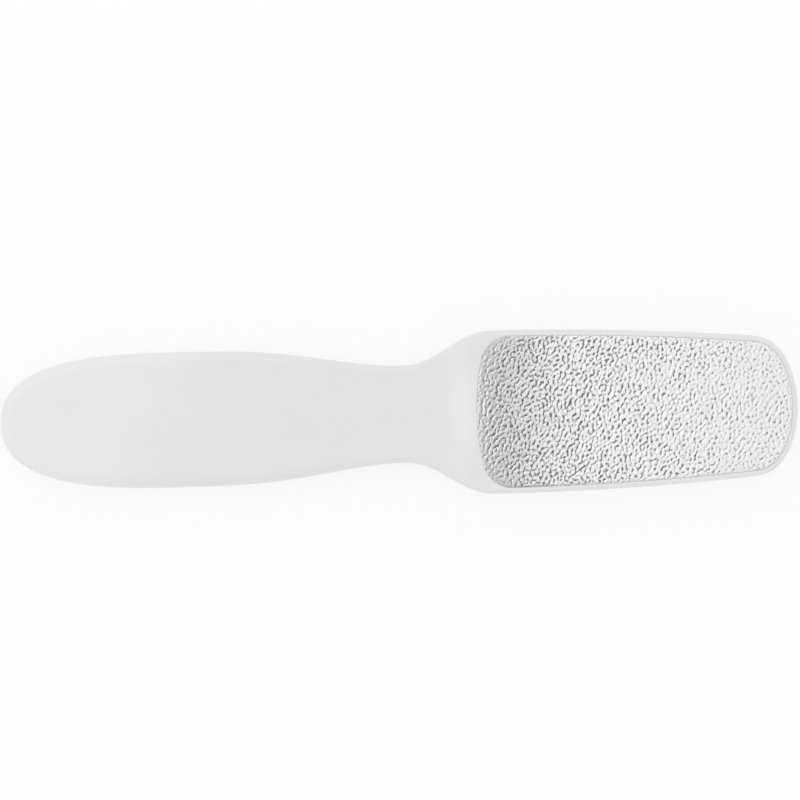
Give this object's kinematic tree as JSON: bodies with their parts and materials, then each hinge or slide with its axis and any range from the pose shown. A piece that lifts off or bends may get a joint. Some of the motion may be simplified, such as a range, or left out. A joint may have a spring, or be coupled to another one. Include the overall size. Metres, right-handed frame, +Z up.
{
  "type": "foot file",
  "caption": "Slim two-sided foot file: a white moulded paddle handle with a nodular metal file plate bonded into a seat on each face of its broad head.",
  "frame": {"origin": "middle of the paddle's footprint, on the surface that its rear face rests on", "axes": "+X along the paddle from the butt of the handle to the tip of the head, +Y across it, +Z up out of the front face"},
  "size_m": [0.22, 0.045, 0.01],
  "materials": {
    "shell": "injection-moulded white ABS, satin gloss",
    "file_plate": "electroformed bright nickel sheet, nodular",
    "adhesive": "acrylic transfer adhesive film, hidden under the plates"
  },
  "bodies": {
    "root": {"front_shell": "shell", "rear_shell": "shell", "front_adhesive": "adhesive", "rear_adhesive": "adhesive", "front_file_plate": "file_plate", "rear_file_plate": "file_plate"}
  },
  "joints": []
}
